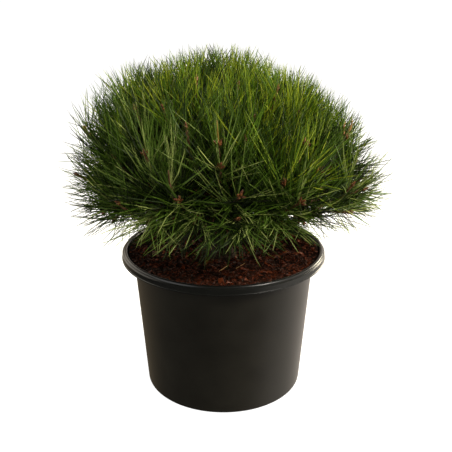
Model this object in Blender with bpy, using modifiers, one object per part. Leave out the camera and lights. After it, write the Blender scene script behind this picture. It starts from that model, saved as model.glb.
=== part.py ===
# Potted dwarf Austrian pine: a low, dense dome of needles on a short trunk in a nursery container
import math
import random
from collections import namedtuple

import bmesh
import bpy
import numpy as np
from mathutils import Matrix, Vector, noise

MODEL = "potted_dwarf_pine"
CLEAR = 0.0003
SEED = 4100

# Container, moulded in one piece, with a rolled rim whose lip hangs clear of the wall
POT_STEPS = 32
POT_HEIGHT = 0.202
RIM_RADIUS = 0.140
RIM_INNER_RADIUS = 0.1345
RIM_DROP = 0.0125
LIP_FLARE = 0.0024
BEAD = 0.0028
BEAD_STEP = 45
SHOULDER_DROP = 0.0030
SHOULDER_RISE = 0.0045
SHOULDER_WIDTH = 0.0040
WALL_TOP_RADIUS = 0.1256
WALL_FOOT_RADIUS = 0.1119
WALL = 0.0020
SKIN = 0.0012
FLOOR = 0.0030
FOOT_ROUND = 0.0030
FOOT_TURN = 0.3
DRAIN_HOLES = 8
DRAIN_SIDES = 8
DRAIN_RADIUS = 0.006
DRAIN_CIRCLE = 0.078

# Bark and peat that fills the container
SOIL_TOP = 0.1835
SOIL_RINGS = 6
SOIL_RELIEF = 0.0022
SOIL_SINK = 0.4
SOIL_GRAIN = 0.035
SOIL_FLAT = 0.030

# Trunk, from its flat cut at soil level to its tip under the top mass
TRUNK_TIP = Vector((-0.006, 0.004, 0.327))
TRUNK_POINTS = 9
TRUNK_CROWDING = 1.6
TRUNK_ROUNDNESS = 3
TRUNK_RADIUS = 0.0125
TRUNK_TIP_RADIUS = 0.0045
FLARE_RADIUS = 0.008
FLARE_HEIGHT = 0.010

# Crown: every mass lies in its own wedge round the heart
HEART = Vector((0.0, 0.0, 0.235))
CROWN_REACH = 0.245
SKIRT_ANGLE = 19.0
SKIRT_FADE = 13.0
LOBE_BLEND = 22.0
LOBE_VALLEY = 0.045
LOBE_WIDTH = 0.10

# Each mass by its direction, its reach against the whole crown, and its bough's height on the trunk
Mass = namedtuple("Mass", "name azimuth elevation share height")
MASSES = (
    Mass("top", 150, 86, 1.00, None),
    Mass("upper_1", 20, 50, 0.95, 0.262),
    Mass("upper_2", 80, 47, 1.00, 0.246),
    Mass("upper_3", 140, 49, 1.05, 0.262),
    Mass("upper_4", 200, 47, 1.06, 0.246),
    Mass("upper_5", 260, 50, 1.01, 0.262),
    Mass("upper_6", 320, 47, 0.97, 0.246),
    Mass("lower_1", 0, 13, 1.03, 0.206),
    Mass("lower_2", 45, 14, 1.00, 0.224),
    Mass("lower_3", 90, 12, 1.02, 0.206),
    Mass("lower_4", 135, 14, 0.99, 0.224),
    Mass("lower_5", 180, 13, 1.00, 0.206),
    Mass("lower_6", 225, 14, 0.99, 0.224),
    Mass("lower_7", 270, 13, 0.98, 0.206),
    Mass("lower_8", 315, 14, 1.00, 0.224),
)

# Boughs
BOUGH_REACH = 0.095
BOUGH_POINTS = 8
BOUGH_RADIUS = 0.0062
BOUGH_TIP_RADIUS = 0.0034
BOUGH_LEVEL = 0.040
BOUGH_ONWARD = 0.030
BOUGH_ROUNDNESS = 1

# Stems, twigs and shoots
STEM_REACH = 0.128
STEM_RADIUS = 0.0032
STEM_TIP_RADIUS = 0.0024
STEM_SIDES = 6
FORK_FIRST = 0.35
FORK_LAST = 0.95
FORK_SHARPNESS = 6
TWIG_RADIUS = 0.0022
TWIG_TAPER = 0.7
TWIG_SIDES = 3
TWIG_SINK = 0.3
SHOOTS = 130
LOWEST_SHOOT = -4.0
SHOOT_RISE = 0.82
SHOOT_REACH = 0.77
SHOOT_LENGTH = 0.040
SHOOT_RADIUS = 0.0038
SHOOT_SIDES = 4
SHOOT_RINGS = 5
SHOOT_LIFT = 0.22
SHOOT_HANG = -0.6
SHOOT_LEVEL = 0.12
SHOOT_LIFT_RANGE = 0.3
SHOOT_MARGIN = 0.0060
INWARD_STEP = 0.03
FIT_STEPS = 6

# Dense heart of each mass
CORE_MIDDLE = 0.132
CORE_RADIUS = 0.025
CORE_LUMPS = 0.35
CORE_GRAIN = 0.018

# Needles, each a spike drawn out of one face of its shoot and standing for the many of a real one
NEEDLE_LENGTH = 0.084
NEEDLE_ROOT = 0.0028
NEEDLE_JITTER = 0.008
NEEDLE_STEP = 0.93
NEEDLE_TIP_SPREAD = 14.0
NEEDLE_BASE_SPREAD = 72.0
NEEDLE_SPREAD_JITTER = 4.0
NEEDLE_DROOP = 0.30
NEEDLE_DROOP_BELOW = 0.35
NEEDLE_LEANS = (1.0, 0.88)
NEEDLE_SHORTEST = 0.040
BEADS = 24
GOLDEN_ANGLE = math.pi * (3.0 - math.sqrt(5.0))

# Hex colour and roughness of each finish, and how masses darken towards the skirt
COLOURS = {
    "pot": ("1d1c19", 0.42),
    "substrate": ("4a2a1c", 0.95),
    "bark": ("5b4433", 0.90),
    "needles": ("4c6420", 0.55),
}
SKIRT_SHADE = 0.55
TOP_SHADE = 1.15


def clear_scene():
    for obj in list(bpy.data.objects):
        bpy.data.objects.remove(obj, do_unlink=True)


def new_collection(name):
    collection = bpy.data.collections.new(name)
    bpy.context.scene.collection.children.link(collection)
    return collection


def linear(channel):
    return channel / 12.92 if channel <= 0.04045 else ((channel + 0.055) / 1.055) ** 2.4


def paint(obj, kind, shade=1.0):
    """Gives the object a material of its own, of one kind's colour and roughness."""
    code, roughness = COLOURS[kind]
    rgb = [linear(int(code[i:i + 2], 16) / 255) * shade for i in (0, 2, 4)]
    material = bpy.data.materials.new(f"{obj.name}_{kind}")
    material.use_nodes = True
    shader = material.node_tree.nodes["Principled BSDF"]
    shader.inputs["Base Color"].default_value = (*rgb, 1.0)
    shader.inputs["Roughness"].default_value = roughness
    shader.inputs["Metallic"].default_value = 0.0
    obj.data.materials.clear()
    obj.data.materials.append(material)


def to_object(made, name, collection):
    """Turns a finished bmesh into an object of the collection."""
    mesh = bpy.data.meshes.new(name)
    made.to_mesh(mesh)
    made.free()
    obj = bpy.data.objects.new(name, mesh)
    collection.objects.link(obj)
    return obj


def as_cutter(obj):
    obj.display_type = "WIRE"
    obj.hide_render = True
    return obj


def cut(obj, cutter):
    """Takes the cutter away from the object."""
    boolean = obj.modifiers.new(cutter.name, "BOOLEAN")
    boolean.operation = "DIFFERENCE"
    boolean.object = cutter


def direction(azimuth, elevation):
    az = math.radians(azimuth)
    el = math.radians(elevation)
    return Vector((math.cos(az) * math.cos(el), math.sin(az) * math.cos(el), math.sin(el)))


def turned(name, profile, steps, collection):
    """A shape of revolution. The profile runs from the axis, over the top and down the outer side."""
    mesh = bpy.data.meshes.new(name)
    edges = [(i, i + 1) for i in range(len(profile) - 1)]
    mesh.from_pydata([(r, 0.0, z) for r, z in profile], edges, [])
    obj = bpy.data.objects.new(name, mesh)
    collection.objects.link(obj)
    screw = obj.modifiers.new("turn", "SCREW")
    screw.axis = "Z"
    screw.angle = math.tau
    screw.steps = steps
    screw.render_steps = steps
    screw.use_merge_vertices = True
    screw.merge_threshold = 0.0001
    screw.use_smooth_shade = True
    return obj


def evaluated_mesh(obj):
    graph = bpy.context.evaluated_depsgraph_get()
    return bpy.data.meshes.new_from_object(obj.evaluated_get(graph))


def as_mesh(obj, collection):
    """Replaces an object by the plain mesh that its modifiers or its curve make."""
    name = obj.name
    mesh = evaluated_mesh(obj)
    made = bmesh.new()
    made.from_mesh(mesh)
    bmesh.ops.remove_doubles(made, verts=made.verts, dist=0.00001)
    made.to_mesh(mesh)
    made.free()
    whole = bpy.data.objects.new(name, mesh)
    whole.matrix_world = obj.matrix_world.copy()
    collection.objects.link(whole)
    bpy.data.objects.remove(obj, do_unlink=True)
    whole.name = name
    return whole


def wall_sizes():
    """Heights and inner radii that the container and its filling share."""
    shoulder = POT_HEIGHT - RIM_DROP - SHOULDER_DROP
    return shoulder, WALL_TOP_RADIUS - WALL, WALL_FOOT_RADIUS - WALL


def pot_profile():
    """Floor, inner wall, shoulder, rolled rim with its hanging lip, outer wall and underside."""
    shoulder, inner_top, inner_foot = wall_sizes()
    lip = POT_HEIGHT - RIM_DROP
    lip_radius = RIM_RADIUS + LIP_FLARE
    bead = POT_HEIGHT - BEAD
    half = (RIM_RADIUS - RIM_INNER_RADIUS) / 2
    profile = [
        (0.0, FLOOR),
        (inner_foot - FOOT_ROUND, FLOOR),
        (inner_foot, FLOOR + FOOT_ROUND),
        (inner_top, shoulder),
        (inner_top + SHOULDER_WIDTH, shoulder + SHOULDER_RISE),
        (RIM_INNER_RADIUS - SKIN, shoulder + 2 * SHOULDER_RISE),
    ]
    for angle in range(180, -1, -BEAD_STEP):
        turn = math.radians(angle)
        profile.append((RIM_RADIUS - half + half * math.cos(turn), bead + BEAD * math.sin(turn)))
    profile += [
        (lip_radius, lip + SKIN),
        (lip_radius - SKIN / 2, lip),
        (lip_radius - WALL, lip),
        (RIM_RADIUS - WALL, bead - WALL),
        (RIM_INNER_RADIUS + SKIN, bead - WALL),
        (RIM_INNER_RADIUS, shoulder + 2 * SHOULDER_RISE - WALL),
        (inner_top + SHOULDER_WIDTH + SKIN, shoulder + SHOULDER_RISE - WALL),
        (WALL_TOP_RADIUS, shoulder - SKIN),
        (WALL_FOOT_RADIUS, FOOT_ROUND),
        (WALL_FOOT_RADIUS - FOOT_ROUND * FOOT_TURN, FOOT_ROUND * FOOT_TURN),
        (WALL_FOOT_RADIUS - FOOT_ROUND, 0.0),
        (0.0, 0.0),
    ]
    return profile


def make_pot(parts, cutters):
    pot = as_mesh(turned("pot", pot_profile(), POT_STEPS, parts), parts)
    for index in range(DRAIN_HOLES):
        turn = math.tau * (index + 0.5) / DRAIN_HOLES
        middle = Vector((math.cos(turn), math.sin(turn), 0.0)) * DRAIN_CIRCLE
        over = Vector((0.0, 0.0, FLOOR * 2))
        drill = taper(f"drain_{index + 1}", middle - over, middle + over, DRAIN_RADIUS, DRAIN_RADIUS,
                      DRAIN_SIDES, cutters)
        cut(pot, as_cutter(drill))
    paint(pot, "pot")


def make_substrate(parts):
    """Fills the container to just under its rim, with a gently uneven top."""
    shoulder, inner_top, inner_foot = wall_sizes()
    foot = FLOOR + FOOT_ROUND + CLEAR
    slope = (inner_top - inner_foot) / (shoulder - FLOOR - FOOT_ROUND)
    base = inner_foot - CLEAR
    edge = base + slope * (SOIL_TOP - foot)
    profile = [(edge * i / SOIL_RINGS, SOIL_TOP) for i in range(SOIL_RINGS + 1)]
    profile += [(base, foot), (base - FOOT_ROUND, FLOOR + CLEAR), (0.0, FLOOR + CLEAR)]
    substrate = as_mesh(turned("substrate", profile, POT_STEPS, parts), parts)
    for vertex in substrate.data.vertices:
        if vertex.co.z > SOIL_TOP - CLEAR and SOIL_FLAT < vertex.co.xy.length < edge - CLEAR:
            lump = noise.noise(vertex.co / SOIL_GRAIN + Vector((SEED, 0.0, 0.0)))
            vertex.co.z += SOIL_RELIEF * (lump - SOIL_SINK)
    paint(substrate, "substrate")


def trunk_point(share):
    """Middle of the trunk and its radius, from the cut at soil level to the tip."""
    foot = Vector((0.0, 0.0, SOIL_TOP + CLEAR))
    rise = TRUNK_TIP.z - foot.z
    lean = share * share
    middle = Vector((TRUNK_TIP.x * lean, TRUNK_TIP.y * lean, foot.z + rise * share))
    flare = FLARE_RADIUS * math.exp(-rise * share / FLARE_HEIGHT)
    return middle, TRUNK_RADIUS + (TRUNK_TIP_RADIUS - TRUNK_RADIUS) * share + flare


def trunk_at(height):
    foot = SOIL_TOP + CLEAR
    return trunk_point((height - foot) / (TRUNK_TIP.z - foot))


def limb(name, stations, roundness, collection):
    """A tapering limb as a curve through its stations, each a middle and a radius."""
    curve = bpy.data.curves.new(name, "CURVE")
    curve.dimensions = "3D"
    curve.bevel_depth = 0.001
    curve.bevel_resolution = roundness
    curve.use_fill_caps = True
    curve.twist_mode = "MINIMUM"
    spline = curve.splines.new("POLY")
    spline.points.add(len(stations) - 1)
    for point, (middle, radius) in zip(spline.points, stations):
        point.co = (*middle, 1.0)
        point.radius = radius / curve.bevel_depth
    obj = bpy.data.objects.new(name, curve)
    collection.objects.link(obj)
    return obj


def trunk_stations(extra=0.0):
    shares = [(i / (TRUNK_POINTS - 1)) ** TRUNK_CROWDING for i in range(TRUNK_POINTS)]
    return [(middle, radius + extra) for middle, radius in map(trunk_point, shares)]


def bough_stations(mass):
    """From the trunk's middle, level at first, then up and out along the wedge to the mass."""
    start, _ = trunk_at(mass.height)
    onward = direction(mass.azimuth, mass.elevation)
    tip = HEART + onward * BOUGH_REACH
    level = start + Vector((onward.x, onward.y, 0.0)) * BOUGH_LEVEL
    before = tip - onward * BOUGH_ONWARD
    stations = []
    for i in range(BOUGH_POINTS):
        t = i / (BOUGH_POINTS - 1)
        first, second, third = start.lerp(level, t), level.lerp(before, t), before.lerp(tip, t)
        middle = first.lerp(second, t).lerp(second.lerp(third, t), t)
        stations.append((middle, BOUGH_RADIUS + (BOUGH_TIP_RADIUS - BOUGH_RADIUS) * t))
    return stations


def make_limbs(parts, cutters):
    """Trunk and boughs. Each bough is cut back to lie against the trunk."""
    limbs = {"trunk": trunk_stations()}
    trunk = as_mesh(limb("trunk", limbs["trunk"], TRUNK_ROUNDNESS, parts), parts)
    paint(trunk, "bark")
    sleeve = limb("trunk_sleeve", trunk_stations(CLEAR), TRUNK_ROUNDNESS, cutters)
    sleeve = as_cutter(as_mesh(sleeve, cutters))
    for mass in MASSES:
        if mass.height is None:
            continue
        limbs[mass.name] = bough_stations(mass)
        bough = limb(f"bough_{mass.name}", limbs[mass.name], BOUGH_ROUNDNESS, parts)
        bough = as_mesh(bough, parts)
        cut(bough, sleeve)
        paint(bough, "bark")
    return limbs


def axis_of(mass):
    return direction(mass.azimuth, mass.elevation)


def reach(u):
    """How far the crown goes from its heart in the direction u."""
    near = sorted(((u.dot(axis_of(mass)), mass.share) for mass in MASSES), reverse=True)
    weights = [(math.exp(LOBE_BLEND * (dot - near[0][0])), share) for dot, share in near]
    blended = sum(w * share for w, share in weights) / sum(w for w, _ in weights)
    elevation = math.degrees(math.asin(max(-1.0, min(1.0, u.z))))
    skirt = 1.0 - math.exp(-max(0.0, elevation + SKIRT_ANGLE) / SKIRT_FADE)
    inside = min(1.0, (near[0][0] - near[1][0]) / LOBE_WIDTH)
    return CROWN_REACH * skirt * blended * (1.0 - LOBE_VALLEY * (1.0 - inside) ** 2)


def wedge_room(point, mass):
    """How far a point is inside the wedge of one mass: the least distance to its bounding planes."""
    own = axis_of(mass)
    offset = point - HEART
    sides = [own - axis_of(other) for other in MASSES if other is not mass]
    return min(offset.dot(side) / side.length for side in sides)


def limb_room(point, limbs):
    """Distance from a point to the surface of the nearest limb."""
    room = math.inf
    for stations in limbs.values():
        for (a, radius_a), (b, radius_b) in zip(stations, stations[1:]):
            along = b - a
            t = max(0.0, min(1.0, (point - a).dot(along) / along.length_squared))
            radius = radius_a + (radius_b - radius_a) * t
            room = min(room, (point - a - along * t).length - radius)
    return room


def fits(a, b, radius, mass, limbs):
    """Whether a straight piece stays in its mass's wedge and clear of every limb."""
    if min(wedge_room(a, mass), wedge_room(b, mass)) < radius + CLEAR:
        return False
    steps = [a.lerp(b, i / FIT_STEPS) for i in range(FIT_STEPS + 1)]
    return all(limb_room(point, limbs) > radius + CLEAR for point in steps)


def beads(a, b, radius_a, radius_b):
    """Points along a tapering piece, each with the radius there, as rows of x, y, z, radius."""
    return np.linspace((*a, radius_a), (*b, radius_b), BEADS)


def apart(piece, others):
    """Whether a piece touches none of the others."""
    if not others:
        return True
    rest = np.concatenate(others)
    gaps = np.linalg.norm(piece[:, None, :3] - rest[None, :, :3], axis=2)
    return bool((gaps > piece[:, None, 3] + rest[None, :, 3] + CLEAR).all())


def taper(name, a, b, radius_a, radius_b, sides, collection):
    """A straight tapering piece from a to b."""
    made = bmesh.new()
    bmesh.ops.create_cone(made, cap_ends=True, segments=sides, radius1=radius_a, radius2=radius_b,
                          depth=(b - a).length)
    turn = (b - a).to_track_quat("Z", "Y").to_matrix().to_4x4()
    bmesh.ops.transform(made, matrix=Matrix.Translation((a + b) / 2) @ turn, verts=made.verts)
    return to_object(made, name, collection)


def shoot_directions(mass):
    """The directions of one mass's shoots, out of an even spread over the whole crown."""
    low = math.sin(math.radians(LOWEST_SHOOT))
    for i in range(SHOOTS):
        z = low + (1.0 - low) * ((i + 0.5) / SHOOTS) ** SHOOT_RISE
        flat = math.sqrt(1.0 - z * z)
        turn = i * GOLDEN_ANGLE
        u = Vector((flat * math.cos(turn), flat * math.sin(turn), z))
        if max(MASSES, key=lambda other: u.dot(axis_of(other))) is mass:
            yield u


def place_shoots(mass, start, fork, limbs):
    """Each shoot's direction, fork on the stem, base and tip. They turn up, and the skirt's hang."""
    own = axis_of(mass)
    for u in shoot_directions(mass):
        tip = HEART + u * reach(u) * SHOOT_REACH
        while wedge_room(tip, mass) < SHOOT_MARGIN:
            u = (u + own * INWARD_STEP).normalized()
            tip = HEART + u * reach(u) * SHOOT_REACH
        turn_up = min(1.0, max(SHOOT_HANG, (u.z - SHOOT_LEVEL) / SHOOT_LIFT_RANGE))
        axis = (u + Vector((0.0, 0.0, SHOOT_LIFT * turn_up))).normalized()
        base = tip - axis * SHOOT_LENGTH
        centred = max(0.0, u.dot(own)) ** FORK_SHARPNESS
        root = start.lerp(fork, FORK_FIRST + (FORK_LAST - FORK_FIRST) * centred)
        if fits(base, tip, SHOOT_RADIUS, mass, limbs):
            yield u, root, base, tip


def needle_tip(root, axis, around, share, hang, mass, limbs, others, rng):
    """Tip of a needle that keeps to its space, closer in or shorter where it has to be, or None."""
    spread = NEEDLE_TIP_SPREAD + (NEEDLE_BASE_SPREAD - NEEDLE_TIP_SPREAD) * share
    spread = math.radians(spread + rng.uniform(-NEEDLE_SPREAD_JITTER, NEEDLE_SPREAD_JITTER))
    longest = NEEDLE_LENGTH + rng.uniform(-NEEDLE_JITTER, NEEDLE_JITTER)
    for lean in NEEDLE_LEANS:
        way = axis * math.cos(spread * lean) + around * math.sin(spread * lean)
        way = (way + Vector((0.0, 0.0, -hang))).normalized()
        length = longest
        while length > NEEDLE_SHORTEST:
            tip = root + way * length
            out = tip - HEART
            inside = out.length <= reach(out.normalized()) and fits(root, tip, 0.0, mass, limbs)
            if inside and apart(beads(root, tip, NEEDLE_ROOT, 0.0), others):
                return tip
            length *= NEEDLE_STEP
    return None


def ring_and_turn(face):
    """Orders the faces of an upright sphere from the bottom ring up, and round each ring."""
    middle = face.calc_center_median()
    return round(middle.z, 3), round(math.atan2(middle.y, middle.x), 3)


def grow_spray(name, shoot, mass, limbs, others, rng, collection):
    """A slim core whose faces are drawn out into needles, forward at its tip and spread lower down."""
    u, _, base, tip = shoot
    made = bmesh.new()
    bmesh.ops.create_uvsphere(made, u_segments=SHOOT_SIDES, v_segments=SHOOT_RINGS, radius=1.0)
    faces = sorted(made.faces, key=ring_and_turn)
    length = (tip - base).length
    axis = (tip - base) / length
    turn = axis.to_track_quat("Z", "Y").to_matrix().to_4x4()
    twist = Matrix.Rotation(rng.uniform(0.0, math.tau), 4, "Z")
    size = Matrix.Diagonal((SHOOT_RADIUS, SHOOT_RADIUS, length / 2, 1.0))
    place = Matrix.Translation((base + tip) / 2) @ turn @ twist @ size
    bmesh.ops.transform(made, matrix=place, verts=made.verts)
    hang = NEEDLE_DROOP * max(0.0, NEEDLE_DROOP_BELOW - u.z)
    needles = []
    for face in faces:
        root = face.calc_center_median()
        back = (tip - root).dot(axis) / length
        if len(face.verts) == 3 and back > 0.5:
            continue
        around = (root - tip + axis * back * length).normalized()
        end = needle_tip(root, axis, around, back, hang, mass, limbs, others, rng)
        if end is not None:
            needles.append((face, root, end))
    for face, _, end in needles:
        bmesh.ops.poke(made, faces=[face])["verts"][0].co = end
    to_object(made, name, collection)
    return [beads(root, end, NEEDLE_ROOT, 0.0) for _, root, end in needles]


def grow_core(name, middle, collection):
    """The dense, lumpy heart of a mass, which its sprays stand out of."""
    core = bmesh.new()
    bmesh.ops.create_icosphere(core, subdivisions=2, radius=CORE_RADIUS)
    for vertex in core.verts:
        vertex.co *= 1.0 + CORE_LUMPS * noise.noise((vertex.co + middle) / CORE_GRAIN)
    bmesh.ops.translate(core, vec=middle, verts=core.verts)
    to_object(core, name, collection)


def largest_body(mesh):
    """Keeps the one whole body: sealed hollows are filled and loose scraps dropped."""
    made = bmesh.new()
    made.from_mesh(mesh)
    waiting = set(made.faces)
    bodies = []
    while waiting:
        stack = [waiting.pop()]
        body = set(stack)
        while stack:
            for edge in stack.pop().edges:
                for face in edge.link_faces:
                    if face not in body:
                        body.add(face)
                        stack.append(face)
        waiting -= body
        bodies.append(body)
    bodies.sort(key=len, reverse=True)
    scraps = [face for body in bodies[1:] for face in body]
    bmesh.ops.delete(made, geom=scraps, context="FACES")
    bmesh.ops.triangulate(made, faces=made.faces)
    closed = all(len(edge.link_faces) == 2 for edge in made.edges)
    made.to_mesh(mesh)
    made.free()
    return closed


def fuse(stem, pieces):
    """Joins the pieces to the stem in one union and removes them."""
    join = stem.modifiers.new("join", "BOOLEAN")
    join.operation = "UNION"
    join.operand_type = "COLLECTION"
    join.collection = pieces
    for solver in ("EXACT", "MANIFOLD"):
        join.solver = solver
        mesh = evaluated_mesh(stem)
        if largest_body(mesh):
            break
    stem.modifiers.remove(join)
    stem.data = mesh
    for obj in list(pieces.objects):
        bpy.data.objects.remove(obj, do_unlink=True)
    bpy.data.collections.remove(pieces)


def make_mass(number, mass, limbs, parts):
    """A stem that goes on from the bough, its twigs and sprays, all fused to one dense heart."""
    rng = random.Random(SEED + number)
    stations = limbs["trunk" if mass.height is None else mass.name]
    tip = stations[-1][0]
    onward = (tip - stations[-2][0]).normalized()
    start = tip + onward * CLEAR
    fork = start + onward * (STEM_REACH - BOUGH_REACH)
    stem = taper(f"foliage_{mass.name}", start, fork, STEM_RADIUS, STEM_TIP_RADIUS, STEM_SIDES, parts)
    shoots = list(place_shoots(mass, start, fork, limbs))
    cores = [beads(base, tip, SHOOT_RADIUS, SHOOT_RADIUS) for _, _, base, tip in shoots]
    twigs = [beads(root, base, TWIG_RADIUS, TWIG_RADIUS) for _, root, base, _ in shoots]
    needles = []
    pieces = new_collection(f"{mass.name}_pieces")
    grow_core(f"{mass.name}_heart", HEART + axis_of(mass) * CORE_MIDDLE, pieces)
    for index, shoot in enumerate(shoots):
        _, root, base, tip = shoot
        name = f"{mass.name}_{index + 1}"
        sunk = base.lerp(tip, TWIG_SINK)
        taper(f"{name}_twig", root, sunk, TWIG_RADIUS, TWIG_RADIUS * TWIG_TAPER, TWIG_SIDES,
              pieces)
        others = cores[:index] + cores[index + 1:] + twigs + needles
        needles += grow_spray(f"{name}_spray", shoot, mass, limbs, others, rng, pieces)
    fuse(stem, pieces)
    height = max(0.0, math.sin(math.radians(mass.elevation)))
    paint(stem, "needles", SKIRT_SHADE + (TOP_SHADE - SKIRT_SHADE) * height)


def main():
    clear_scene()
    parts = new_collection(MODEL)
    cutters = new_collection("cutters")
    make_pot(parts, cutters)
    make_substrate(parts)
    limbs = make_limbs(parts, cutters)
    for number, mass in enumerate(MASSES):
        make_mass(number, mass, limbs, parts)


main()
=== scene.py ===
# Looks of the potted dwarf Austrian pine: needles, buds, bark, substrate and container at life size
import math
import random
from collections import namedtuple

import bmesh
import bpy
import numpy as np
from mathutils import Matrix, Vector, noise


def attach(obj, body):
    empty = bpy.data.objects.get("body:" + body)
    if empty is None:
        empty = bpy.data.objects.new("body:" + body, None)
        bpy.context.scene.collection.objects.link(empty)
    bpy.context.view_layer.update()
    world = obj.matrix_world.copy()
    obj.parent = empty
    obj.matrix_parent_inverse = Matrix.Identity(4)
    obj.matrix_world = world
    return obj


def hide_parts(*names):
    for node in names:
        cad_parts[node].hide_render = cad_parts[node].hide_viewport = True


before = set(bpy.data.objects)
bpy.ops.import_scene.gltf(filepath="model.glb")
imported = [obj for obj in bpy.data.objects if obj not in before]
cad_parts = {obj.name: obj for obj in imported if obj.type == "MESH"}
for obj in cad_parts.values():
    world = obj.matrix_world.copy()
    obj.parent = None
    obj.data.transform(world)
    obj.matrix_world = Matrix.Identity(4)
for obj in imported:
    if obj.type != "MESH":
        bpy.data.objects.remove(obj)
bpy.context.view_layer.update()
BODY = "root"
SEED = 4100
MM = 0.001

# Crown, by the same rule as the solids: every mass lies in its own wedge round the heart
HEART = Vector((0.0, 0.0, 0.235))
CROWN_REACH = 0.245
SKIRT_ANGLE = 19.0
SKIRT_FADE = 13.0
FRONT_HANG = 9.0
LOBE_BLEND = 22.0
LOBE_VALLEY = 0.045
LOBE_WIDTH = 0.10
Mass = namedtuple("Mass", "name azimuth elevation share height")
MASSES = (
    Mass("top", 150, 86, 0.99, None),
    Mass("upper_1", 20, 50, 0.98, 0.262),
    Mass("upper_2", 80, 47, 0.97, 0.246),
    Mass("upper_3", 140, 49, 1.06, 0.262),
    Mass("upper_4", 200, 47, 1.08, 0.246),
    Mass("upper_5", 260, 50, 1.01, 0.262),
    Mass("upper_6", 320, 47, 1.00, 0.246),
    Mass("lower_1", 0, 13, 1.04, 0.206),
    Mass("lower_2", 45, 14, 1.00, 0.224),
    Mass("lower_3", 90, 12, 1.00, 0.206),
    Mass("lower_4", 135, 14, 0.99, 0.224),
    Mass("lower_5", 180, 13, 1.03, 0.206),
    Mass("lower_6", 225, 14, 1.00, 0.224),
    Mass("lower_7", 270, 13, 0.97, 0.206),
    Mass("lower_8", 315, 14, 1.00, 0.224),
)

# Limbs
SOIL_TOP = 0.1835
TRUNK_TIP = Vector((-0.006, 0.004, 0.327))
TRUNK_RADIUS = 0.0125
TRUNK_TIP_RADIUS = 0.0045
FLARE_RADIUS = 0.008
FLARE_HEIGHT = 0.010
BOUGH_REACH = 0.095
BOUGH_RADIUS = 0.0062
BOUGH_TIP_RADIUS = 0.0034
BOUGH_LEVEL = 0.040
BOUGH_ONWARD = 0.030
STEM_REACH = 0.128
STEM_RADIUS = 0.0032
STEM_TIP_RADIUS = 0.0024
FORK_FIRST = 0.35
FORK_LAST = 0.95
FORK_SHARPNESS = 6
TWIG_RADIUS = 0.0022
TWIG_TIP_RADIUS = 0.0016

# Shoots: more of them than in the solids, at the same spread
SHOOTS = 160
INNER_SHOOTS = 84
SHOOT_HEIGHTS = (0.258, 0.250, 0.246, 0.246, 0.258, 0.298, 0.312, 0.298)
SHOOT_RAISED = 0.025
LOWEST_SHOOT = -4.0
SHOOT_RISE = 0.82
SHOOT_REACH = 0.79
INNER_REACH = 0.46
SHOOT_REACH_JITTER = 0.11
SHOOT_TURN_JITTER = 0.10
SHOOT_AXIS_JITTER = 0.16
SHOOT_LENGTH = 0.042
SHOOT_LIFT = 1.05
SHOOT_HANG = -0.6
SHOOT_LEVEL = 0.34
SHOOT_LIFT_RANGE = 0.40
LOW_SPREAD = 24.0
LOW_JITTER = 7.0

# Needles, in pairs along each shoot
PAIRS = 100
INNER_PAIRS = 44
PAIR_SPREAD = 3.0
NEEDLE_LENGTH = 0.080
NEEDLE_JITTER = 0.12
NEEDLE_YOUNG = 0.78
NEEDLE_WIDTH = 1.15 * MM
TIP_SPREAD = 24.0
BASE_SPREAD = 56.0
SPREAD_JITTER = 5.0
LOCKS = 15
LOCK_PULL = 0.58
DROOP = 0.50
DROOP_BELOW = 0.50
RISE = 0.48
RISE_ABOVE = 0.30
BEND = 0.16
UPTURN = 0.10
REACH_SPARE = 0.960
SPRAY_RAGGED = 0.036
NEEDLE_RAGGED = 0.036
MOST_SPARE = 1.02
SHORTEST = 0.60
OUTER_START = 0.84
OUTER_SPARSE = 0.28
OUTER_SPARSE_LOW = 0.50
OUTER_SPARSE_LEFT = 0.30
SKIRT_HEIGHTS = (0.256, 0.234, 0.218, 0.214, 0.216, 0.230, 0.250, 0.266, 0.236, 0.240, 0.252, 0.275)
SKIRT_SLOPES = (-0.1, 0.3, 0.5, 0.5, 0.5, 0.3, -0.2, -0.4, 0.3, 0.5, 0.3, -0.4)
SKIRT_START = 0.165
SKIRT_INNER_SLOPES = (0.6, 0.5, 0.5, 0.5, 0.5, 0.5, 0.7, 1.4, 0.3, 0.1, 0.3, 1.2)
SKIRT_INNER = 0.05
SKIRT_RAGGED = 0.005
SKIRT_SPARSE = 0.018
SKIRT_LEAST = 0.20
RING_PLACES = (0.0, 0.42, 0.86)
RING_SIZES = (0.78, 1.0, 0.66)
GOLDEN_ANGLE = math.pi * (3.0 - math.sqrt(5.0))


def linear(channel):
    return channel / 12.92 if channel <= 0.04045 else ((channel + 0.055) / 1.055) ** 2.4


def colour(code):
    """Linear colour from an sRGB hex value."""
    return tuple(linear(int(code[i:i + 2], 16) / 255) for i in (0, 2, 4)) + (1.0,)


def add(tree, kind, inputs=None, **settings):
    """Adds a node with its settings. Each input takes a value, or a link from another node's output."""
    made = tree.nodes.new(kind)
    for name, value in settings.items():
        setattr(made, name, value)
    for name, value in (inputs or {}).items():
        socket = next(s for s in made.inputs if s.name == name and s.enabled)
        if isinstance(value, bpy.types.NodeSocket):
            tree.links.new(value, socket)
        else:
            socket.default_value = value
    return made


def result(made):
    """The output in use of a node that has one for each data type."""
    return next(s for s in made.outputs if s.enabled)


def ramp(tree, factor, *stops):
    """A colour ramp through pairs of a place and a hex colour."""
    made = add(tree, "ShaderNodeValToRGB", {"Fac": factor})
    elements = made.color_ramp.elements
    while len(elements) < len(stops):
        elements.new(0.5)
    for element, (place, code) in zip(elements, stops):
        element.position = place
        element.color = colour(code)
    return made.outputs["Color"]


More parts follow.
